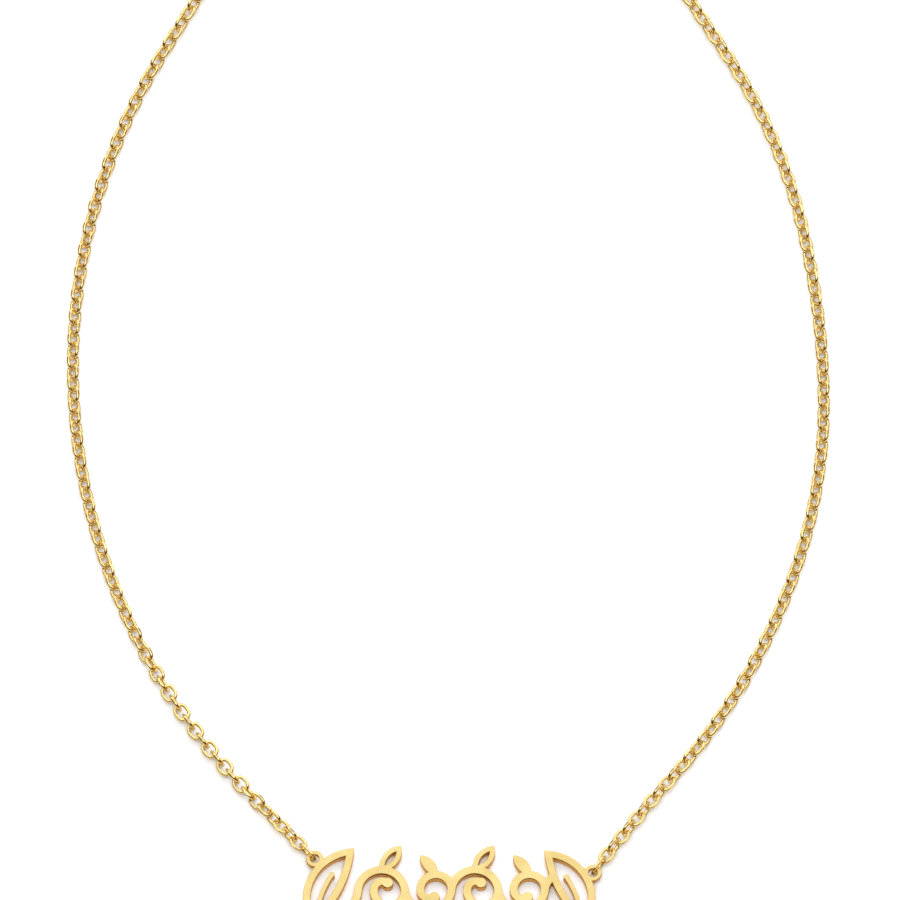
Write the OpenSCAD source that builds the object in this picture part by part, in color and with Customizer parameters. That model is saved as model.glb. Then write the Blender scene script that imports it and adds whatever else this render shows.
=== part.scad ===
// A necklace lying closed on a flat surface. An openwork leaf scroll hangs between the two
// ends of a fine oval cable chain, which closes at the far side in a spring ring clasp.
// Millimetres, +Z up, +Y from the scroll towards the clasp. The origin lies on the back face
// of the scroll, midway along it.

/* [Scroll] */
// Thickness of the scroll plate
plate_t = 1.5; // [1.3:0.1:1.8]
// Width of the stem and of the tendrils
stroke_w = 1.25; // [1:0.05:1.5]
// Width of the rim round each of the two large leaves
leaf_rim = 1.15; // [1:0.05:1.2]
// Width of the rim round each small pierced leaf
small_rim = 0.85; // [0.75:0.05:0.9]
// Length of a half wave of the vine
wave_chord = 7.2; // [7.1:0.05:7.3]
// Radius of a tendril's outer turn
curl_r = 2.4; // [2.2:0.05:2.6]
// Radius of the ball that ends a tendril
ball_r = 0.85; // [0.7:0.05:1]
// Slots narrower than this are filled
slot_w = 0.2; // [0.1:0.05:0.3]

/* [Loops of the scroll] */
// Radius of the hole in each end loop
loop_hole_r = 0.7; // [0.65:0.05:0.8]
// Width of the metal round each hole
loop_rim = 0.65; // [0.55:0.05:0.75]
// Space under each loop, in which its jump ring's wire lies
loop_lift = 0.64; // [0.6:0.02:0.7]

/* [Chain] */
// Thickness of the chain's wire
wire_d = 0.58; // [0.5:0.02:0.6]
// Length of a link outside
link_l = 3.2; // [3.1:0.05:3.4]
// Width of a link outside
link_w = 2.5; // [2.4:0.05:2.6]
// Space between the wires of two links that hold each other
link_gap = 0.12; // [0.12:0.01:0.2]

/* [Jump rings] */
// Thickness of a jump ring's wire
ring_wire_d = 0.5; // [0.44:0.02:0.52]
// Length of a jump ring outside
ring_l = 3.7; // [3.5:0.05:3.8]
// Width of a jump ring outside
ring_w = 2.5; // [2.4:0.05:2.6]

/* [Clasp] */
// Diameter of the spring ring along the middle of its tube
clasp_d = 4.4; // [4:0.1:6]
// Thickness of the spring ring's tube
clasp_tube_d = 1; // [0.9:0.05:1.1]
// Distance of the closed clasp from the scroll
clasp_y = 171; // [165:0.5:180]

/* [Hidden] */

GOLD = "#E8C15A";
SATIN_GOLD = "#F6DE8C";

// Sides of round wire, of the end loops and of the tendrils' balls
$fn = 32;
loop_fn = 48;
ball_fn = 24;
// Largest turn and length between two points of a drawn stroke
arc_step = 11;
stroke_step = 1.2;
// About eight tenths of the distance between two points of a leaf's side
leaf_step = 0.7;
// How far a cut runs past the faces that it goes through
past = 0.5;

wire_r = wire_d / 2;
ring_wire_r = ring_wire_d / 2;

// A place is [x, y, heading]. A course is a list of stretches, each [length, turn]. The turn
// is in degrees and to the left. A stretch with no turn is straight, any other is an arc.
function after(place, length, turn) =
    abs(turn) < 0.01
        ? [place.x + length * cos(place[2]), place.y + length * sin(place[2]), place[2]]
        : let (r = length / (turn * PI / 180))
          [place.x + r * (sin(place[2] + turn) - sin(place[2])),
           place.y - r * (cos(place[2] + turn) - cos(place[2])),
           place[2] + turn];

// Length of a whole course
function total(course, i = 0) = i == len(course) ? 0 : course[i][0] + total(course, i + 1);

// The place at the distance s along a course
function at(place, course, s, i = 0) =
    i == len(course) - 1 || s <= course[i][0]
        ? after(place, s, course[i][1] * s / course[i][0])
        : at(after(place, course[i][0], course[i][1]), course, s - course[i][0], i + 1);

// A course made longer by a straight run and one arc, so that it ends at the goal
function led_to(goal, start, course) =
    let (
        end = at(start, course, total(course)),
        turn = goal[2] - end[2],
        way = sign(turn),
        run = [cos(end[2]), sin(end[2])],
        bend = way * [sin(goal[2]) - sin(end[2]), cos(end[2]) - cos(goal[2])],
        left = [goal.x - end.x, goal.y - end.y],
        det = run.x * bend.y - run.y * bend.x,
        straight = (left.x * bend.y - left.y * bend.x) / det,
        r = (run.x * left.y - run.y * left.x) / det
    )
    concat(course, [[straight, 0], [r * abs(turn) * PI / 180, turn]]);

// Holes of the scroll's end loops, with the heading in which the chain leaves each
left_hole = [-21.1, 5.2, 132.9];
right_hole = [21.8, 2.85, 54.8];

// The chain's course on each side, as [length, turn], from the loop to where it is led to the clasp
left_stretches = [[15, -0.6], [45, -24.7], [45, -23.3], [45, -24.4]];
right_stretches = [[20, -4.5], [40, 21.6], [30, 18.7], [30, 12.3], [30, 18.5]];

// Roll of the even links about the chain's line, as [distance, degrees]. Odd links stand across them.
left_rolls = [[3, 16], [7, 20], [10, 30], [13, 47], [16, 61], [20, 74], [34, 74], [39, 59],
              [44, 48], [50, 39], [60, 38], [90, 44], [122, 43], [133, 48], [150, 52], [156, 60],
              [165, 60], [205, 4]];
right_rolls = [[3, -19], [19, -19], [24, -30], [30, -38], [36, -39], [41, -44], [48, -40],
               [70, -40], [84, -45], [98, -46], [108, -53], [120, -57], [130, -60], [150, -65],
               [160, -63], [205, -4]];

// Jump rings are ovals on edge. Half sizes are those of the middle line of the wire.
ring_half_l = ring_l / 2 - ring_wire_r;
ring_half_w = ring_w / 2 - ring_wire_r;
ring_z = ring_w / 2;
// The wire of each jump ring's end passes through the middle of the scroll's loop
loop_to_ring = ring_half_l;

link_half_l = link_l / 2 - wire_r;
link_half_w = link_w / 2 - wire_r;
longest_pitch = 2 * link_half_l - wire_d - link_gap;
// Space between the wires of a jump ring and of the link that it holds
ring_gap = 0.25;
ring_to_link = ring_half_l - ring_wire_r - ring_gap - wire_r + link_half_l;

// The clasp lies just over the wires of its two jump rings. The left one passes through the
// middle of its eyelet, which sinks a little into the tube. The right one is held inside the tube.
clasp_gap = 0.1;
clasp_r = clasp_d / 2;
clasp_x = 0.3;
clasp_z = ring_wire_d + clasp_gap + clasp_tube_d / 2;
eyelet_r = 0.8;
eyelet_tube_r = 0.3;
eyelet_sink = 0.1;
inside_tube = 1.03;
clasp_to_eyelet = clasp_r + clasp_tube_d / 2 + eyelet_r - eyelet_sink;
clasp_to_ring = clasp_r - inside_tube + ring_half_l;
knob_r = 0.35;
knob_h = 0.5;
knob_turn = 60;
left_goal = [clasp_x - clasp_to_eyelet - ring_half_l, clasp_y, 0];
right_goal = [clasp_x + clasp_to_ring, clasp_y, 180];

left_course = led_to(left_goal, left_hole, left_stretches);
right_course = led_to(right_goal, right_hole, right_stretches);

// Oval of round wire in the XY plane, long along X: two round ends and two straight sides
module oval_wire(half_l, half_w, r) {
    side_l = 2 * (half_l - half_w);
    for (half = [0, 180])
        rotate(half) {
            translate([side_l / 2, 0])
                rotate_extrude(angle = 180, start = -90)
                    translate([half_w, 0])
                        circle(r);
            translate([-side_l / 2, half_w])
                rotate([0, 90])
                    cylinder(h = side_l, r = r);
        }
}

// Puts what is drawn along X at a place, at the height z, rolled about its own line
module put(place, z, roll) {
    translate([place.x, place.y, z])
        rotate(place[2])
            rotate([roll, 0])
                children();
}

module jump_ring(place) {
    put(place, ring_z, 90)
        oval_wire(ring_half_l, ring_half_w, ring_wire_r);
}

// Height of the chain's line over the surface when its links rest on it
function line_z(roll) = wire_r + link_half_w * max(abs(sin(roll)), abs(cos(roll)));

// Links from the loop's jump ring to the clasp's, each across the one before. The number of
// steps is even, so the last link lies across its jump ring as the first does.
module chain(start, course, rolls) {
    first = loop_to_ring + ring_to_link;
    last = total(course) - ring_to_link;
    steps = 2 * ceil((last - first) / longest_pitch / 2);
    pitch = (last - first) / steps;
    for (k = [0 : steps]) {
        s = first + k * pitch;
        roll = lookup(s, rolls);
        put(at(start, course, s), line_z(roll), roll + 90 * (k % 2))
            oval_wire(link_half_l, link_half_w, wire_r);
    }
}

// Places along a course, for a drawn stroke
function places(start, course, i = 0) =
    i == len(course) ? [start] :
    let (steps = ceil(max(abs(course[i][1]) / arc_step, course[i][0] / stroke_step)))
    concat(
        [for (k = [0 : steps - 1]) after(start, course[i][0] * k / steps, course[i][1] * k / steps)],
        places(after(start, course[i][0], course[i][1]), course, i + 1)
    );

// A drawn stroke of the width w along a course
module stroke(start, course, w) {
    steps = places(start, course);
    sides = [for (side = [w / 2, -w / 2])
        [for (p = steps) [p.x - side * sin(p[2]), p.y + side * cos(p[2])]]];
    polygon(concat(sides[0], [for (i = [len(steps) - 1 : -1 : 0]) sides[1][i]]));
}

module ball(place, r) {
    translate([place.x, place.y])
        circle(r, $fn = ball_fn);
}

// A pointed leaf between base and tip, whose sides bulge by left and right. The circles of the
// two sides meet at the base and at the tip. A leaf with a rim is cut through inside it.
module leaf(base, tip, left, right, rim) {
    half_l = norm(tip - base) / 2;
    translate((base + tip) / 2)
        rotate(atan2(tip.y - base.y, tip.x - base.x))
            difference() {
                lens(half_l, left, right, 0);
                if (rim > 0)
                    lens(half_l, left, right, rim);
            }
}

module lens(half_l, left, right, inset) {
    left_r = (half_l ^ 2 + left ^ 2) / (2 * left);
    right_r = (half_l ^ 2 + right ^ 2) / (2 * right);
    intersection() {
        translate([0, left - left_r])
            circle(left_r - inset, $fn = 8 * ceil(left_r / leaf_step));
        translate([0, right_r - right])
            circle(right_r - inset, $fn = 8 * ceil(right_r / leaf_step));
    }
}

// A stretch of a course that is an arc of the radius r
function arc(r, turn) = [r * abs(turn) * PI / 180, turn];

// The vine has a foot that grows out of the first leaf, then half waves of equal size that lean
// by wave_lean where they cross the middle line, and a tip that runs into the last leaf's rim
waves = 4;
wave_lean = 86;
wave_r = wave_chord / 2 / sin(wave_lean);
vine_x = -wave_chord * waves / 2;
foot_start = [-21.2, -5.2, -4];
foot_run = 0.3;
tip_r = 3;
tip_turn = -40;
tip_run = 0.4;
vine = concat(
    led_to([vine_x, 0, wave_lean], foot_start, [[foot_run, 0]]),
    [for (i = [1 : waves]) arc(wave_r, (i % 2 == 1 ? -2 : 2) * wave_lean)],
    [arc(tip_r, tip_turn), [tip_run, 0]]
);

// A tendril's outer turn, then an inner one whose radius is a share of the outer one's
curl_turn = 200;
inner_turn = 110;
inner_share = 0.55;

// Leaves, as base x, base y, tip x, tip y, left bulge, right bulge, rim. A leaf with no rim is solid.
leaves = [
    [-21.4, -6.1, -15.0, 7.0, 4.3, 1.4, leaf_rim],
    [20.7, -5.9, 14.3, 6.6, 1.4, 4.3, leaf_rim],
    [-11.1, 3.2, -7.8, 7.4, 1.2, 1.4, small_rim],
    [3.3, 3.2, 6.6, 7.4, 1.2, 1.4, small_rim],
    [-3.3, -3.2, -6.6, -7.4, 1.2, 1.4, small_rim],
    [11.1, -3.2, 7.8, -7.4, 1.2, 1.4, small_rim],
    [-2.2, 2.3, -4.9, 5.8, 0.8, 1.1, 0],
    [12.2, 2.3, 9.5, 5.8, 0.8, 1.1, 0],
    [-9.8, -2.3, -12.6, -5.6, 0.8, 1.1, 0],
    [4.6, -2.3, 1.8, -5.6, 0.8, 1.1, 0],
];

// Veins of the two large leaves, as x, y, heading, length, turn
vein_w = 0.7;
vein_ball_r = 0.45;
veins = [
    [-20.9, -5.0, 86, 8, -28],
    [20.1, -5.2, 94, 7.8, 28],
];

module vine_strokes() {
    stroke(foot_start, vine, stroke_w);
    for (i = [1 : waves]) {
        side = i % 2 == 1 ? -1 : 1;
        start = [vine_x + wave_chord * i, 0, side * wave_lean];
        curl = [arc(curl_r, side * curl_turn), arc(curl_r * inner_share, side * inner_turn)];
        stroke(start, curl, stroke_w);
        ball(at(start, curl, total(curl)), ball_r);
    }
}

module scroll_outline() {
    offset(delta = -slot_w / 2)
        offset(delta = slot_w / 2) {
            vine_strokes();
            for (l = leaves)
                leaf([l[0], l[1]], [l[2], l[3]], l[4], l[5], l[6]);
            for (v = veins) {
                start = [v[0], v[1], v[2]];
                stroke(start, [[v[3], v[4]]], vein_w);
                ball(after(start, v[3], v[4]), vein_ball_r);
            }
        }
}

module scroll_plate() {
    loop_t = plate_t - loop_lift;
    color(SATIN_GOLD)
        difference() {
            union() {
                linear_extrude(plate_t)
                    scroll_outline();
                for (hole = [left_hole, right_hole])
                    translate([hole.x, hole.y, loop_lift])
                        cylinder(h = loop_t, r = loop_hole_r + loop_rim, $fn = loop_fn);
            }
            for (hole = [left_hole, right_hole])
                translate([hole.x, hole.y, -past])
                    cylinder(h = plate_t + 2 * past, r = loop_hole_r, $fn = loop_fn);
        }
}

module plate_ring_left() {
    color(GOLD)
        jump_ring(at(left_hole, left_course, loop_to_ring));
}

module plate_ring_right() {
    color(GOLD)
        jump_ring(at(right_hole, right_course, loop_to_ring));
}

module chain_left() {
    color(GOLD)
        chain(left_hole, left_course, left_rolls);
}

module chain_right() {
    color(GOLD)
        chain(right_hole, right_course, right_rolls);
}

module clasp_ring_left() {
    color(GOLD)
        jump_ring(left_goal);
}

module clasp_ring_right() {
    color(GOLD)
        jump_ring(right_goal);
}

// A closed spring ring with its eyelet and the small knob that draws it open
module clasp() {
    color(GOLD)
        translate([clasp_x, clasp_y, clasp_z]) {
            rotate_extrude()
                translate([clasp_r, 0])
                    circle(clasp_tube_d / 2);
            translate([-clasp_to_eyelet, 0])
                rotate_extrude()
                    translate([eyelet_r, 0])
                        circle(eyelet_tube_r);
            rotate(knob_turn)
                translate([clasp_r, 0])
                    cylinder(h = clasp_tube_d / 2 + knob_h, r = knob_r);
        }
}

scroll_plate();
plate_ring_left();
plate_ring_right();
chain_left();
chain_right();
clasp_ring_left();
clasp_ring_right();
clasp();
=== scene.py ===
# Dresses the necklace's construction model: satin scroll, polished chain, rings and clasp, on a lit floor
import math

import bpy
import numpy as np
from bpy.props import FloatProperty, FloatVectorProperty, IntProperty, PointerProperty
from mathutils import Matrix, Vector


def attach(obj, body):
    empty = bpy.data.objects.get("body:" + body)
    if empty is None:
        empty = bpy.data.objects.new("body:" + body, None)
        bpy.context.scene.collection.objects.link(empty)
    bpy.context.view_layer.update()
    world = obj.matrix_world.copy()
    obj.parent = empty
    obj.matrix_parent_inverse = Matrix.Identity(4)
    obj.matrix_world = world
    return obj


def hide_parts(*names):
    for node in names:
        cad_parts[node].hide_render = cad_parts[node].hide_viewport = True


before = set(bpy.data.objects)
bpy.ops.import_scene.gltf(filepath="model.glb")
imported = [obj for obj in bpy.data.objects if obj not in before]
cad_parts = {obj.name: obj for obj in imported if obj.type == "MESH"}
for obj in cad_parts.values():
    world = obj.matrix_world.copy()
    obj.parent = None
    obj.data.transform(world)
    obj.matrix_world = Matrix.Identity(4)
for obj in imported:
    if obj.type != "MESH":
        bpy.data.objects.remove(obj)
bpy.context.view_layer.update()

bl_info = {
    "name": "Scroll necklace",
    "version": (1, 0, 0),
    "blender": (4, 5, 0),
    "location": "3D View > Sidebar > Necklace",
    "description": "Dresses a scroll necklace's construction model and sets it on a lit floor",
    "category": "Object",
}

CHAINS = ("chain_left", "chain_right")
RINGS = ("plate_ring_left", "plate_ring_right", "clasp_ring_left", "clasp_ring_right")
MM = 0.001

# Metres between points that are one point: while a piece is made, and once it is whole
SAME_POINT = 1e-7
WELD = 1e-6

# Edges that turn by more stay sharp: on wires, tubes and the knob, and on the scroll
WIRE_SMOOTH = math.radians(50)
SCROLL_SMOOTH = math.radians(28)

# Upright share of a face's normal above which the face lies flat
FLAT_SHARE = 0.9


def linear(hex_colour):
    """An sRGB hex colour such as '#E8C15A' as linear red, green and blue."""
    parts = [int(hex_colour[i : i + 2], 16) / 255 for i in (1, 3, 5)]
    return [c / 12.92 if c <= 0.04045 else ((c + 0.055) / 1.055) ** 2.4 for c in parts]


def points_of(node_name):
    """A CAD node's points, one row for each."""
    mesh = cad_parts[node_name].data
    points = np.empty(3 * len(mesh.vertices))
    mesh.vertices.foreach_get("co", points)
    return points.reshape(-1, 3)


def solids_of(node_name):
    """Places and sizes of a CAD node's loose solids: for each, a matrix whose X runs along it
    and whose Z is its thinnest way, and its length, width and thickness."""
    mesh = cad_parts[node_name].data
    points = points_of(node_name)
    ends = np.empty(2 * len(mesh.edges), np.int32)
    mesh.edges.foreach_get("vertices", ends)
    _, welded = np.unique(np.round(points / SAME_POINT).astype(np.int64), axis=0, return_inverse=True)
    a, b = welded.ravel()[ends.reshape(-1, 2)].T
    # Points joined by edges come to share the lowest label among them
    label = np.arange(welded.max() + 1)
    while True:
        low = np.minimum(label[a], label[b])
        spread = label.copy()
        np.minimum.at(spread, a, low)
        np.minimum.at(spread, b, low)
        spread = spread[spread]
        if (spread == label).all():
            break
        label = spread
    solid = label[welded.ravel()]
    found = []
    for number in np.unique(solid):
        part = np.unique(points[solid == number], axis=0)
        centre = (part.min(axis=0) + part.max(axis=0)) / 2
        axes = np.linalg.eigh(np.cov((part - centre).T))[1][:, ::-1]
        if np.linalg.det(axes) < 0:
            axes[:, 2] = -axes[:, 2]
        size = np.ptp((part - centre) @ axes, axis=0)
        place = Matrix(axes.tolist()).to_4x4()
        place.translation = Vector(centre)
        found.append((place, size))
    return found


LINKS = {name: solids_of(name) for name in CHAINS}
RING_PLACES = {name: solids_of(name)[0] for name in RINGS}
LINK_SIZE = LINKS["chain_left"][0][1]
RING_SIZE = RING_PLACES["plate_ring_left"][1]
PLATE_TOP = points_of("scroll_plate")[:, 2].max()
# The clasp's box: its ring ends at the box's right side, and its eyelet at the left
CLASP_LOW = Vector(points_of("clasp").min(axis=0))
CLASP_HIGH = Vector(points_of("clasp").max(axis=0))


class NecklaceSizes(bpy.types.PropertyGroup):
    """Sizes of the pieces. Those of the links and the jump rings are read from the CAD solids."""

    link_length: FloatProperty(
        name="Link length",
        description="Length of a link outside",
        default=float(LINK_SIZE[0]),
        unit="LENGTH",
    )
    link_width: FloatProperty(
        name="Link width",
        description="Width of a link outside",
        default=float(LINK_SIZE[1]),
        unit="LENGTH",
    )
    link_wire: FloatProperty(
        name="Link wire",
        description="Thickness of the chain's wire",
        default=float(LINK_SIZE[2]),
        unit="LENGTH",
    )
    facet_depth: FloatProperty(
        name="Facet depth",
        description="Depth of the two cut facets along each side of a link",
        default=0.04 * MM,
        unit="LENGTH",
    )
    facet_turn: FloatProperty(
        name="Facet turn",
        description="Angle of each facet to the link's side",
        default=math.radians(12),
        subtype="ANGLE",
    )
    link_sides: IntProperty(name="Link sides", description="Sides of a link's wire", default=8)
    link_steps: IntProperty(name="Link steps", description="Steps round each end of a link", default=5)
    ring_length: FloatProperty(
        name="Ring length",
        description="Length of a jump ring outside",
        default=float(RING_SIZE[0]),
        unit="LENGTH",
    )
    ring_width: FloatProperty(
        name="Ring width",
        description="Width of a jump ring outside",
        default=float(RING_SIZE[1]),
        unit="LENGTH",
    )
    ring_wire: FloatProperty(
        name="Ring wire",
        description="Thickness of a jump ring's wire",
        default=float(RING_SIZE[2]),
        unit="LENGTH",
    )
    ring_seam: FloatProperty(
        name="Ring seam",
        description="Gap where a jump ring is cut",
        default=0.03 * MM,
        unit="LENGTH",
    )
    ring_sides: IntProperty(name="Ring sides", description="Sides of a jump ring's wire", default=16)
    ring_steps: IntProperty(name="Ring steps", description="Steps round each end of a ring", default=14)
    clasp_tube: FloatProperty(
        name="Clasp tube",
        description="Thickness of the clasp's tube at its collars",
        default=1 * MM,
        unit="LENGTH",
    )
    clasp_body: FloatProperty(
        name="Clasp body",
        description="Thickness of the clasp's tube between its collars",
        default=0.92 * MM,
        unit="LENGTH",
    )
    clasp_tongue: FloatProperty(
        name="Clasp tongue",
        description="Thickness of the tongue that closes the clasp",
        default=0.76 * MM,
        unit="LENGTH",
    )
    clasp_gate: FloatProperty(
        name="Clasp gate",
        description="Angle that the tongue closes",
        default=math.radians(70),
        subtype="ANGLE",
    )
    collar_turn: FloatProperty(
        name="Collar",
        description="Angle that each collar takes up",
        default=math.radians(12),
        subtype="ANGLE",
    )
    clasp_sides: IntProperty(name="Clasp sides", description="Sides of the clasp's tubes", default=20)
    clasp_step: FloatProperty(
        name="Clasp step",
        description="Angle of one step along the clasp's tubes",
        default=math.radians(7.5),
        subtype="ANGLE",
    )
    eyelet_width: FloatProperty(
        name="Eyelet width",
        description="Width of the clasp's eyelet outside",
        default=2.2 * MM,
        unit="LENGTH",
    )
    eyelet_wire: FloatProperty(
        name="Eyelet wire",
        description="Thickness of the eyelet's wire",
        default=0.6 * MM,
        unit="LENGTH",
    )
    knob_width: FloatProperty(
        name="Knob width",
        description="Width of the knob that draws the tongue back",
        default=0.7 * MM,
        unit="LENGTH",
    )
    knob_turn: FloatProperty(
        name="Knob place",
        description="Angle of the knob round the clasp",
        default=math.radians(60),
        subtype="ANGLE",
    )
    knob_round: FloatProperty(
        name="Knob rounding",
        description="Width of the knob's rounded edge",
        default=0.08 * MM,
        unit="LENGTH",
    )
    knob_sides: IntProperty(name="Knob sides", description="Sides of the knob", default=24)
    edge_round: FloatProperty(
        name="Edge rounding",
        description="Width of the polished edge round the scroll's faces",
        default=0.07 * MM,
        unit="LENGTH",
    )
    brush_spacing: FloatProperty(
        name="Brush spacing",
        description="Distance between brush lines on the scroll's faces",
        default=0.16 * MM,
        unit="LENGTH",
    )
    beam_spacing: FloatProperty(
        name="Beam spacing",
        description="Distance between the cutting beam's upright marks on the scroll's walls",
        default=0.08 * MM,
        unit="LENGTH",
    )


class NecklaceColours(bpy.types.PropertyGroup):
    """Colours of the metal and of the floor."""

    satin: FloatVectorProperty(
        name="Satin face",
        description="Gold of the scroll's brushed faces",
        subtype="COLOR",
        default=linear("#F6E09A"),
    )
    # Painted shade: the walls' gold is deeper orange than the faces' gold, standing in for the dim light
    # they mirror
    wall: FloatVectorProperty(
        name="Cut wall",
        description="Gold of the scroll's cut walls",
        subtype="COLOR",
        default=linear("#F2BA58"),
    )
    # Painted shade: dark brown painted on the walls' upper lip, in place of their reflection of the dark
    # room
    lip_shade: FloatVectorProperty(
        name="Painted lip shade",
        description="Brown of the cut walls' upper lip",
        subtype="COLOR",
        default=linear("#4C2A06"),
    )
    # Painted shade: the rounded edges get a darker tan gold than the faces, in place of the dark lines they
    # mirror
    edge: FloatVectorProperty(
        name="Edge",
        description="Gold of the scroll's rounded edges",
        subtype="COLOR",
        default=linear("#CDA35C"),
    )
    wire: FloatVectorProperty(
        name="Wire",
        description="Gold of the chain, the rings and the clasp",
        subtype="COLOR",
        default=linear("#F6DB96"),
    )
    floor: FloatVectorProperty(
        name="Floor",
        description="Colour of the floor",
        subtype="COLOR",
        default=linear("#F7FAFD"),
    )
    # Painted shade: the floor's colour only where the gold mirrors it, darker than the floor itself
    reflected_floor_shade: FloatVectorProperty(
        name="Floor in reflections",
        description="Colour of the floor as the gold mirrors it",
        subtype="COLOR",
        default=linear("#DED7CA"),
    )


class NecklaceStage(bpy.types.PropertyGroup):
    """Floor, lights, surroundings and view."""

    view_elevation: FloatProperty(
        name="Elevation",
        description="Angle of the view above the floor",
        default=math.radians(67),
        subtype="ANGLE",
    )
    view_width: FloatProperty(
        name="View width",
        description="Width of floor that the picture spans",
        default=139.5 * MM,
        unit="LENGTH",
    )
    view_distance: FloatProperty(
        name="Distance",
        description="Distance of the camera",
        default=6.0,
        unit="LENGTH",
    )
    view_centre: FloatVectorProperty(
        name="View centre",
        description="Point of the floor at the picture's middle",
        default=(-0.23 * MM, 74.3 * MM, 0),
        subtype="TRANSLATION",
        unit="LENGTH",
    )
    floor_size: FloatProperty(
        name="Floor size",
        description="Side of the square floor",
        default=6.0,
        unit="LENGTH",
    )
    floor_drop: FloatProperty(
        name="Floor drop",
        description="Depth of the floor below the necklace",
        default=0.01 * MM,
        unit="LENGTH",
    )
    box_power: FloatProperty(name="Soft box", description="Power of the soft box behind", default=8.0)
    box_place: FloatVectorProperty(
        name="Soft box place",
        description="Middle of the soft box",
        default=(0, 1.35, 1.3),
        subtype="TRANSLATION",
        unit="LENGTH",
    )
    box_length: FloatProperty(
        name="Soft box length",
        description="Length of the soft box",
        default=1.5,
        unit="LENGTH",
    )
    box_width: FloatProperty(
        name="Soft box width",
        description="Width of the soft box",
        default=0.5,
        unit="LENGTH",
    )
    top_power: FloatProperty(name="Top light", description="Power of the light overhead", default=17.0)
    top_place: FloatVectorProperty(
        name="Top light place",
        description="Middle of the soft light overhead",
        default=(0, -0.5, 2.0),
        subtype="TRANSLATION",
        unit="LENGTH",
    )
    top_size: FloatProperty(
        name="Top light size",
        description="Side of the soft light overhead",
        default=1.6,
        unit="LENGTH",
    )
    tent_strength: FloatProperty(
        name="Tent",
        description="Strength of the white cloth overhead",
        default=2.0,
    )
    tent_lean: FloatProperty(
        name="Tent's lean",
        description="Lean of the cloth away from the camera",
        default=math.radians(28),
        subtype="ANGLE",
    )


def alone(*objects):
    """Selects these objects and no others."""
    bpy.ops.object.select_all(action="DESELECT")
    for o in objects:
        o.select_set(True)
    bpy.context.view_layer.objects.active = objects[0]


def apply_place(o):
    """Moves an object's place into its mesh."""
    alone(o)
    bpy.ops.object.transform_apply(location=True, rotation=True, scale=True)


def copy_of(source, name, place=None):
    """A copy with its own mesh, moved to a place."""
    o = bpy.data.objects.new(name, source.data.copy())
    bpy.context.scene.collection.objects.link(o)
    o.data.name = name
    if place is not None:
        o.matrix_world = place
    return o


def finish_mesh(o):
    """Welds a piece, turns its faces outwards and smooths all but its sharp edges."""
    alone(o)
    bpy.ops.object.mode_set(mode="EDIT")
    bpy.ops.mesh.select_all(action="SELECT")
    bpy.ops.mesh.remove_doubles(threshold=WELD)
    bpy.ops.mesh.normals_make_consistent(inside=False)
    bpy.ops.object.mode_set(mode="OBJECT")
    bpy.ops.object.shade_smooth_by_angle(angle=WIRE_SMOOTH)


def dress(o, slot, materials, *nodes):
    """Gives a finished piece its materials and its body, and hides the nodes that it stands for. The slot
    is not used.
    """
    o.data.materials.clear()
    for material in materials:
        o.data.materials.append(material)
    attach(o, "root")
    if nodes:
        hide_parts(*nodes)


def node(tree, kind, links=(), **settings):
    """Adds a node: settings are its own properties or, as in_NAME or at_NUMBER, its sockets' values,
    and links are pairs of a socket of another node and the name or number of a socket here."""
    made = tree.nodes.new(kind)
    for key, value in sorted(settings.items(), key=lambda item: item[0].startswith(("in_", "at_"))):
        if key.startswith("in_"):
            made.inputs[key[3:].replace("_", " ")].default_value = value
        elif key.startswith("at_"):
            made.inputs[int(key[3:])].default_value = value
        else:
            setattr(made, key, value)
    for source, socket in links:
        tree.links.new(source, made.inputs[socket])
    return made


def graded(tree, factor, *stops):
    """The colour that a ramp gives for a factor: each stop is a place from 0 to 1 and a colour."""
    ramp = node(tree, "ShaderNodeValToRGB", [(factor, "Fac")])
    elements = ramp.color_ramp.elements
    for element, (place, colour) in zip(elements, (stops[0], stops[-1])):
        element.position = place
        element.color = (*colour, 1)
    for place, colour in stops[1:-1]:
        elements.new(place).color = (*colour, 1)
    return ramp.outputs["Color"]


def uneven_gloss(tree, shader, pattern, low, high):
    """Lets the roughness wander between two values with a noise."""
    gloss = node(
        tree, "ShaderNodeMapRange", [(pattern, "Value")],
        in_From_Min=0.3, in_From_Max=0.7, in_To_Min=low, in_To_Max=high,
    )
    tree.links.new(gloss.outputs["Result"], shader.inputs["Roughness"])


def relief(tree, shader, pattern, strength, depth):
    """Raises a noise's pattern from the surface."""
    bump = node(
        tree, "ShaderNodeBump", [(pattern, "Height")], in_Strength=strength, in_Distance=depth
    )
    tree.links.new(bump.outputs["Normal"], shader.inputs["Normal"])


def metal(name, colour, roughness):
    """A new metal material with its tree and its shader."""
    material = bpy.data.materials.new(name)
    material.use_nodes = True
    tree = material.node_tree
    shader = tree.nodes["Principled BSDF"]
    shader.inputs["Base Color"].default_value = (*colour, 1)
    shader.inputs["Metallic"].default_value = 1
    shader.inputs["Roughness"].default_value = roughness
    material.diffuse_color = (*colour, 1)
    return material, tree, shader


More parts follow.
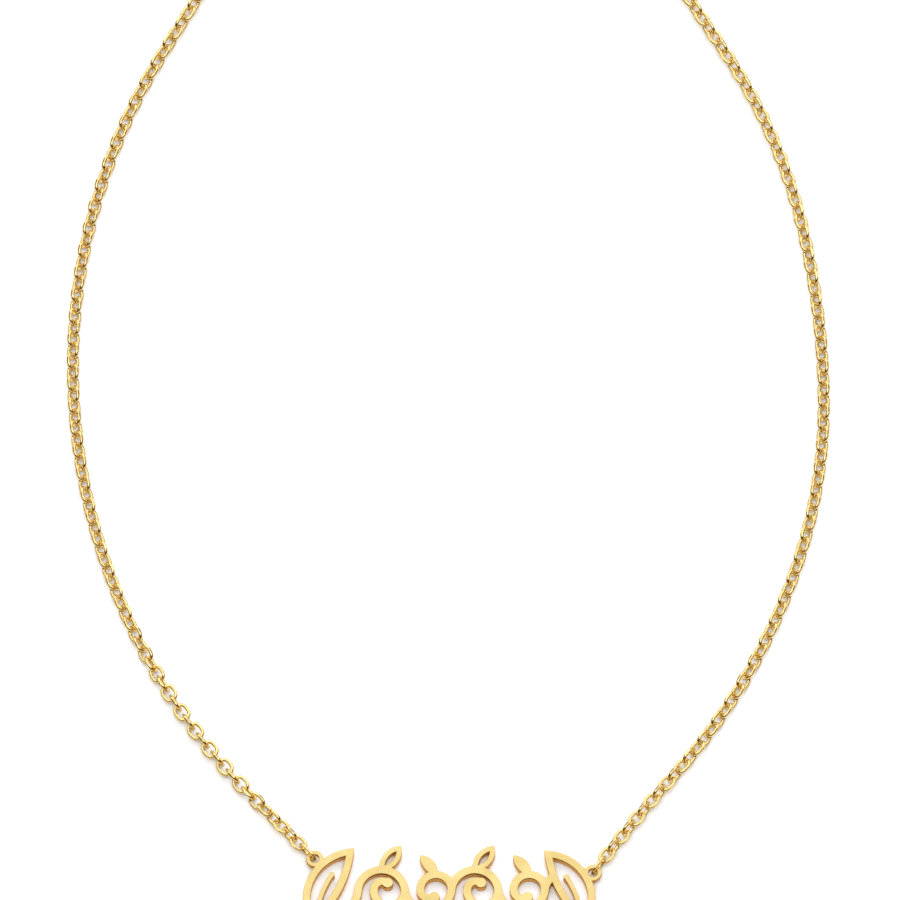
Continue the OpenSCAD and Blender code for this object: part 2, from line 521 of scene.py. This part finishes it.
def satin_gold(sizes, colour):
    """Gold plate brushed with a fine wheel: pale, with a soft sheen drawn out along the brush lines."""
    material, tree, shader = metal("satin_brushed_gold", colour, 0.28)
    place = node(tree, "ShaderNodeTexCoord")
    # Lines about 40 times as long as they are apart
    across = 1 / sizes.brush_spacing
    stretched = node(
        tree, "ShaderNodeMapping", [(place.outputs["Object"], "Vector")],
        in_Scale=(across / 40, across, across), in_Rotation=(0, 0, math.radians(4)),
    )
    lines = node(
        tree, "ShaderNodeTexNoise", [(stretched.outputs[0], "Vector")],
        in_Scale=1.0, in_Detail=3.0, in_Roughness=0.6,
    )
    # Soft clouds about 4 mm wide, where the plating is a little thicker or thinner
    cloud = node(
        tree, "ShaderNodeTexNoise", [(place.outputs["Object"], "Vector")],
        in_Scale=260.0, in_Detail=2.0,
    )
    dull = [c * 0.96 for c in colour]
    bright = [min(1, c * 1.02) for c in colour]
    tone = graded(tree, lines.outputs["Fac"], (0.3, dull), (0.7, bright))
    depth = graded(tree, cloud.outputs["Fac"], (0.35, (0.94, 0.89, 0.8)), (0.65, (1, 1, 1)))
    plated = node(
        tree, "ShaderNodeMix", [(tone, 6), (depth, 7)],
        data_type="RGBA", blend_type="MULTIPLY", at_0=1.0,
    )
    tree.links.new(plated.outputs[2], shader.inputs["Base Color"])
    uneven_gloss(tree, shader, cloud.outputs["Fac"], 0.24, 0.32)
    relief(tree, shader, lines.outputs["Fac"], 0.12, 0.01 * MM)
    return material


def sawn_gold(sizes, colours):
    """Gold-plated wall left by the cutting beam, with painted shade: a gold deeper orange than the faces'
    gold, brighter below, and dark brown painted along its upper lip in place of its reflection of the dark
    room.
    """
    material, tree, shader = metal("beam_cut_gold_wall_painted_shade", colours.wall, 0.35)
    place = node(tree, "ShaderNodeTexCoord")
    height = node(tree, "ShaderNodeSeparateXYZ", [(place.outputs["Object"], 0)])
    share = node(
        tree, "ShaderNodeMath", [(height.outputs["Z"], 0)], operation="DIVIDE", at_1=PLATE_TOP
    )
    # Painted shade: the wall's gold turns to the dark brown lip from 74 % to 84 % of the plate's height
    tone = graded(tree, share.outputs[0], (0.74, colours.wall), (0.84, colours.lip_shade))
    tree.links.new(tone, shader.inputs["Base Color"])
    # The beam's upright marks, stretched to 1 mm along the wall's height
    across = 1 / sizes.beam_spacing
    columns = node(
        tree, "ShaderNodeMapping", [(place.outputs["Object"], "Vector")],
        in_Scale=(across, across, 1 / MM),
    )
    marks = node(
        tree, "ShaderNodeTexNoise", [(columns.outputs[0], "Vector")], in_Scale=1.0, in_Detail=2.0
    )
    relief(tree, shader, marks.outputs["Fac"], 0.3, 0.01 * MM)
    return material


def polished_gold(name, colour, roughness):
    """Gold polished by tumbling: bright, with a faint unevenness left by the wheel."""
    material, tree, shader = metal(name, colour, roughness)
    place = node(tree, "ShaderNodeTexCoord")
    # Ripples 0.4 mm apart
    uneven = node(
        tree, "ShaderNodeTexNoise", [(place.outputs["Object"], "Vector")],
        in_Scale=2500.0, in_Detail=2.0,
    )
    uneven_gloss(tree, shader, uneven.outputs["Fac"], roughness * 0.8, roughness * 1.3)
    relief(tree, shader, uneven.outputs["Fac"], 0.1, 0.02 * MM)
    return material


class NECKLACE_OT_scroll(bpy.types.Operator):
    """Dress the openwork scroll: rounded edges, satin faces and beam-cut walls"""

    bl_idname = "necklace.scroll"
    bl_label = "Scroll"

    def execute(self, context):
        sizes = context.scene.necklace_sizes
        colours = context.scene.necklace_colours
        scroll = copy_of(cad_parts["scroll_plate"], "scroll")
        alone(scroll)
        bpy.ops.object.mode_set(mode="EDIT")
        bpy.ops.mesh.select_all(action="SELECT")
        bpy.ops.mesh.remove_doubles(threshold=0.02 * MM)
        bpy.ops.mesh.dissolve_limited(angle_limit=math.radians(1))
        bpy.ops.object.mode_set(mode="OBJECT")
        # In the order of the faces' material numbers: flat faces, walls, rounded edges
        materials = [
            satin_gold(sizes, colours.satin),
            sawn_gold(sizes, colours),
            # Painted shade: the rounded edges' darker tan gold
            polished_gold("tumbled_gold_edge_painted_shade", colours.edge, 0.35),
        ]
        for material in materials:
            scroll.data.materials.append(material)
        for face in scroll.data.polygons:
            face.material_index = 0 if abs(face.normal.z) > FLAT_SHARE else 1
        rounding = scroll.modifiers.new("edges", "BEVEL")
        rounding.width = sizes.edge_round
        rounding.segments = 2
        rounding.limit_method = "ANGLE"
        rounding.angle_limit = math.radians(60)
        rounding.use_clamp_overlap = False
        rounding.material = 2
        bpy.ops.object.modifier_apply(modifier="edges")
        bpy.ops.object.shade_smooth_by_angle(angle=SCROLL_SMOOTH)
        # Flat faces stay flat up to their rounded edges
        flat = scroll.modifiers.new("flat_faces", "WEIGHTED_NORMAL")
        flat.keep_sharp = True
        bpy.ops.object.modifier_apply(modifier="flat_faces")
        index = [face.material_index for face in scroll.data.polygons]
        dress(scroll, "scroll", materials, "scroll_plate")
        scroll.data.polygons.foreach_set("material_index", index)
        return {"FINISHED"}


def oval_tube(name, length, width, wire, sides, steps, seam=0.0):
    """An oval of round wire along X in the XY plane, run from a circle: half turns by spin and
    straight sides by extrude. With a seam it stays open by that much in one side."""
    half_w = (width - wire) / 2
    side = length - wire - 2 * half_w
    bpy.ops.object.select_all(action="DESELECT")
    bpy.ops.mesh.primitive_circle_add(
        vertices=sides,
        radius=wire / 2,
        location=(seam / 2, -half_w, 0),
        rotation=(0, math.radians(90), 0),
    )
    oval = bpy.context.object
    oval.name = oval.data.name = name
    apply_place(oval)
    bpy.ops.object.mode_set(mode="EDIT")
    bpy.ops.mesh.select_all(action="SELECT")
    bpy.ops.mesh.extrude_region_move(TRANSFORM_OT_translate={"value": (side / 2 - seam / 2, 0, 0)})
    bpy.ops.mesh.spin(steps=steps, angle=math.pi, center=(side / 2, 0, 0), axis=(0, 0, -1))
    bpy.ops.mesh.extrude_region_move(TRANSFORM_OT_translate={"value": (-side, 0, 0)})
    bpy.ops.mesh.spin(steps=steps, angle=math.pi, center=(-side / 2, 0, 0), axis=(0, 0, -1))
    bpy.ops.mesh.extrude_region_move(TRANSFORM_OT_translate={"value": (side / 2 - seam / 2, 0, 0)})
    if seam:
        bpy.ops.mesh.select_all(action="SELECT")
        bpy.ops.mesh.remove_doubles(threshold=SAME_POINT)
        close_ends()
    bpy.ops.object.mode_set(mode="OBJECT")
    return oval


def close_ends():
    """Closes the open ends of the tube in edit mode."""
    bpy.ops.mesh.select_all(action="DESELECT")
    bpy.ops.mesh.select_non_manifold()
    bpy.ops.mesh.fill_holes(sides=0)


class NECKLACE_OT_chain(bpy.types.Operator):
    """Model one link with cut flats and put a copy in each link's place on both sides"""

    bl_idname = "necklace.chain"
    bl_label = "Chain"

    def execute(self, context):
        sizes = context.scene.necklace_sizes
        colours = context.scene.necklace_colours
        link = oval_tube(
            "link", sizes.link_length, sizes.link_width, sizes.link_wire, sizes.link_sides, sizes.link_steps
        )
        finish_mesh(link)
        bpy.ops.object.mode_set(mode="EDIT")
        wire_r = sizes.link_wire / 2
        for way in (1, -1):
            side = Vector((0, way * (sizes.link_width / 2 - wire_r), 0))
            for turn in (sizes.facet_turn, -sizes.facet_turn):
                facet = Vector((0, way * math.cos(turn), math.sin(turn)))
                bpy.ops.mesh.select_all(action="SELECT")
                bpy.ops.mesh.bisect(
                    plane_co=side + facet * (wire_r - sizes.facet_depth),
                    plane_no=facet,
                    use_fill=True,
                    clear_outer=True,
                    threshold=SAME_POINT,
                )
                bpy.ops.mesh.mark_sharp()
        bpy.ops.object.mode_set(mode="OBJECT")
        gold = polished_gold("polished_gold_wire", colours.wire, 0.1)
        for node_name, places in LINKS.items():
            copies = [copy_of(link, f"{node_name}_links", place) for place, _ in places]
            alone(*copies)
            bpy.ops.object.join()
            chain = bpy.context.object
            chain.name = chain.data.name = node_name.replace("chain", "links")
            apply_place(chain)
            bpy.ops.object.shade_smooth_by_angle(angle=WIRE_SMOOTH)
            dress(chain, "chain", [gold], node_name)
        bpy.data.objects.remove(link)
        return {"FINISHED"}


class NECKLACE_OT_rings(bpy.types.Operator):
    """Model one jump ring with its cut seam and put a copy in each ring's place"""

    bl_idname = "necklace.rings"
    bl_label = "Jump rings"

    def execute(self, context):
        sizes = context.scene.necklace_sizes
        colours = context.scene.necklace_colours
        ring = oval_tube(
            "ring",
            sizes.ring_length,
            sizes.ring_width,
            sizes.ring_wire,
            sizes.ring_sides,
            sizes.ring_steps,
            sizes.ring_seam,
        )
        finish_mesh(ring)
        gold = polished_gold("drawn_gold_ring_wire", colours.wire, 0.14)
        for node_name, (place, _) in RING_PLACES.items():
            copy = copy_of(ring, node_name.replace("ring", "jump_ring"), place)
            apply_place(copy)
            finish_mesh(copy)
            dress(copy, "rings", [gold], node_name)
        bpy.data.objects.remove(ring)
        return {"FINISHED"}


def tube(sizes, name, ring_r, tube_r, start, turn, centre):
    """A round tube along an arc about the centre, in the floor's plane, from the angle start on. Its
    open ends are closed."""
    bpy.ops.object.select_all(action="DESELECT")
    bpy.ops.mesh.primitive_circle_add(
        vertices=sizes.clasp_sides, radius=tube_r, rotation=(math.radians(90), 0, 0)
    )
    made = bpy.context.object
    made.name = made.data.name = name
    made.location = (ring_r, 0, 0)
    apply_place(made)
    # Short tubes get 4 steps
    steps = max(4, round(turn / sizes.clasp_step))
    bpy.ops.object.mode_set(mode="EDIT")
    bpy.ops.mesh.select_all(action="SELECT")
    bpy.ops.mesh.spin(steps=steps, angle=turn, center=(0, 0, 0), axis=(0, 0, -1))
    bpy.ops.mesh.select_all(action="SELECT")
    bpy.ops.mesh.remove_doubles(threshold=SAME_POINT)
    if turn < 2 * math.pi:
        close_ends()
    bpy.ops.object.mode_set(mode="OBJECT")
    made.rotation_euler = (0, 0, start)
    made.location = centre
    apply_place(made)
    return made


def knob(sizes, foot, height):
    """The round knob that draws the tongue back, upright from its foot, with rounded edges."""
    bpy.ops.object.select_all(action="DESELECT")
    bpy.ops.mesh.primitive_cylinder_add(
        vertices=sizes.knob_sides,
        radius=sizes.knob_width / 2,
        depth=height,
        location=foot + Vector((0, 0, height / 2)),
    )
    made = bpy.context.object
    made.name = "knob"
    apply_place(made)
    bpy.ops.object.mode_set(mode="EDIT")
    bpy.ops.mesh.select_all(action="SELECT")
    bpy.ops.mesh.bevel(offset=sizes.knob_round, segments=3, affect="EDGES")
    bpy.ops.object.mode_set(mode="OBJECT")
    return made


class NECKLACE_OT_clasp(bpy.types.Operator):
    """Model the spring ring clasp: its tube with end collars, the tongue, the eyelet and the knob"""

    bl_idname = "necklace.clasp"
    bl_label = "Clasp"

    def execute(self, context):
        sizes = context.scene.necklace_sizes
        colours = context.scene.necklace_colours
        tube_r = sizes.clasp_tube / 2
        eyelet_r = (sizes.eyelet_width - sizes.eyelet_wire) / 2
        ring_r = (CLASP_HIGH.y - CLASP_LOW.y) / 2 - tube_r
        middle_y = (CLASP_LOW.y + CLASP_HIGH.y) / 2
        centre = Vector((CLASP_HIGH.x - tube_r - ring_r, middle_y, CLASP_LOW.z + tube_r))
        eyelet_centre = Vector((CLASP_LOW.x + sizes.eyelet_width / 2, centre.y, centre.z))
        body_r = sizes.clasp_body / 2
        tongue_r = sizes.clasp_tongue / 2
        gate = sizes.clasp_gate
        collar = sizes.collar_turn
        whole = 2 * math.pi
        # Radians by which the tongue and the collars reach past the ends of the tube
        tongue_reach = 0.1
        collar_reach = 0.02
        tongue_turn = gate + 2 * tongue_reach
        collar_end = gate / 2 - collar_reach
        parts = [
            tube(sizes, "tube", ring_r, body_r, gate / 2, whole - gate, centre),
            tube(sizes, "tongue", ring_r, tongue_r, -gate / 2 - tongue_reach, tongue_turn, centre),
            tube(sizes, "collar_a", ring_r, tube_r, collar_end, collar, centre),
            tube(sizes, "collar_b", ring_r, tube_r, -collar_end - collar, collar, centre),
            tube(sizes, "eyelet", eyelet_r, sizes.eyelet_wire / 2, 0, whole, eyelet_centre),
        ]
        knob_way = Vector((math.cos(sizes.knob_turn), math.sin(sizes.knob_turn), 0))
        parts.append(knob(sizes, centre + ring_r * knob_way, CLASP_HIGH.z - centre.z))
        for part in parts:
            finish_mesh(part)
        alone(*parts)
        bpy.ops.object.join()
        clasp = bpy.context.object
        clasp.name = clasp.data.name = "spring_clasp"
        bpy.ops.object.shade_smooth_by_angle(angle=WIRE_SMOOTH)
        dress(clasp, "clasp", [polished_gold("polished_gold_clasp", colours.wire, 0.14)], "clasp")
        return {"FINISHED"}


def soft_light(name, place, target, power, length, width):
    """A rectangular soft light turned towards a target. It lights the floor, and the gold doesn't
    mirror it."""
    data = bpy.data.lights.new(name, "AREA")
    data.shape = "RECTANGLE"
    data.energy = power
    data.size = length
    data.size_y = width
    lamp = bpy.data.objects.new(name, data)
    bpy.context.scene.collection.objects.link(lamp)
    lamp.location = place
    lamp.rotation_euler = (target - lamp.location).to_track_quat("-Z", "Y").to_euler()
    lamp.visible_glossy = False


class NECKLACE_OT_stage(bpy.types.Operator):
    """Set the floor, the soft lights and the camera"""

    bl_idname = "necklace.stage"
    bl_label = "Stage"

    def execute(self, context):
        stage = context.scene.necklace_stage
        colours = context.scene.necklace_colours
        bpy.ops.object.select_all(action="DESELECT")
        bpy.ops.mesh.primitive_plane_add(size=stage.floor_size, location=(0, 0, -stage.floor_drop))
        floor = bpy.context.object
        floor.name = "floor"
        apply_place(floor)
        # Matt white board. The gold mirrors it darker than it is, painted shade in the reflections, which
        # outlines the wires
        paper = bpy.data.materials.new("matt_white_board")
        paper.use_nodes = True
        tree = paper.node_tree
        shader = tree.nodes["Principled BSDF"]
        shader.inputs["Roughness"].default_value = 0.9
        path = node(tree, "ShaderNodeLightPath")
        seen_floor = node(
            tree, "ShaderNodeMix", [(path.outputs["Is Glossy Ray"], 0)], data_type="RGBA",
            at_6=(*colours.floor, 1), at_7=(*colours.reflected_floor_shade, 1),
        )
        tree.links.new(seen_floor.outputs[2], shader.inputs["Base Color"])
        floor.data.materials.append(paper)

        # A long soft box behind and a soft light overhead
        target = Vector(stage.view_centre)
        soft_light("box", stage.box_place, target, stage.box_power, stage.box_length, stage.box_width)
        soft_light("top_light", stage.top_place, target, stage.top_power, stage.top_size, stage.top_size)

        # A white cloth overhead that leans away from the camera, in a brown room that is dark at the
        # sides, with a dim glow low in front. Each stop's place is the cosine of the angle to the
        # cloth's middle.
        world = bpy.data.worlds.new("studio")
        context.scene.world = world
        world.use_nodes = True
        tree = world.node_tree
        way = node(tree, "ShaderNodeTexCoord")
        lean = stage.tent_lean
        height = node(
            tree, "ShaderNodeVectorMath", [(way.outputs["Generated"], 0)], operation="DOT_PRODUCT",
            at_1=(0, math.sin(lean), math.cos(lean)),
        )
        glow = (0.15, 0.12, 0.08)
        room = (0.04, 0.02, 0.006)
        cloth = (1, 1, 1)
        cloth_middle = (0.51, 0.51, 0.51)
        shade = graded(
            tree, height.outputs["Value"],
            (0.12, glow), (0.3, room), (0.6, room), (0.7, cloth), (0.86, cloth), (0.95, cloth_middle),
        )
        sky = tree.nodes["Background"]
        tree.links.new(shade, sky.inputs["Color"])
        sky.inputs["Strength"].default_value = stage.tent_strength

        camera = bpy.data.cameras.new("camera")
        seen = bpy.data.objects.new("camera", camera)
        bpy.context.scene.collection.objects.link(seen)
        rise = stage.view_elevation
        back = Vector((0, -math.cos(rise), math.sin(rise)))
        seen.location = target + back * stage.view_distance
        seen.rotation_euler = (-back).to_track_quat("-Z", "Y").to_euler()
        camera.lens = camera.sensor_width * stage.view_distance / stage.view_width
        camera.clip_start = 0.1
        camera.clip_end = 20
        context.scene.camera = seen
        context.scene.view_settings.view_transform = "Standard"
        return {"FINISHED"}


class NECKLACE_PT_panel(bpy.types.Panel):
    """The sizes, colours and stage settings, and a button for each operator"""

    bl_idname = "NECKLACE_PT_panel"
    bl_label = "Necklace"
    bl_space_type = "VIEW_3D"
    bl_region_type = "UI"
    bl_category = "Necklace"

    def draw(self, context):
        scene = context.scene
        for group in (scene.necklace_sizes, scene.necklace_colours, scene.necklace_stage):
            box = self.layout.box()
            for name in group.__annotations__:
                box.prop(group, name)
        for operator in OPERATORS:
            self.layout.operator(operator.bl_idname)


OPERATORS = (NECKLACE_OT_scroll, NECKLACE_OT_chain, NECKLACE_OT_rings, NECKLACE_OT_clasp, NECKLACE_OT_stage)
CLASSES = (NecklaceSizes, NecklaceColours, NecklaceStage, *OPERATORS, NECKLACE_PT_panel)


def register():
    for cls in CLASSES:
        bpy.utils.register_class(cls)
    bpy.types.Scene.necklace_sizes = PointerProperty(type=NecklaceSizes)
    bpy.types.Scene.necklace_colours = PointerProperty(type=NecklaceColours)
    bpy.types.Scene.necklace_stage = PointerProperty(type=NecklaceStage)


def unregister():
    del bpy.types.Scene.necklace_stage
    del bpy.types.Scene.necklace_colours
    del bpy.types.Scene.necklace_sizes
    for cls in reversed(CLASSES):
        bpy.utils.unregister_class(cls)


def main():
    register()
    bpy.ops.necklace.scroll()
    bpy.ops.necklace.chain()
    bpy.ops.necklace.rings()
    bpy.ops.necklace.clasp()
    bpy.ops.necklace.stage()


if __name__ == "__main__":
    main()
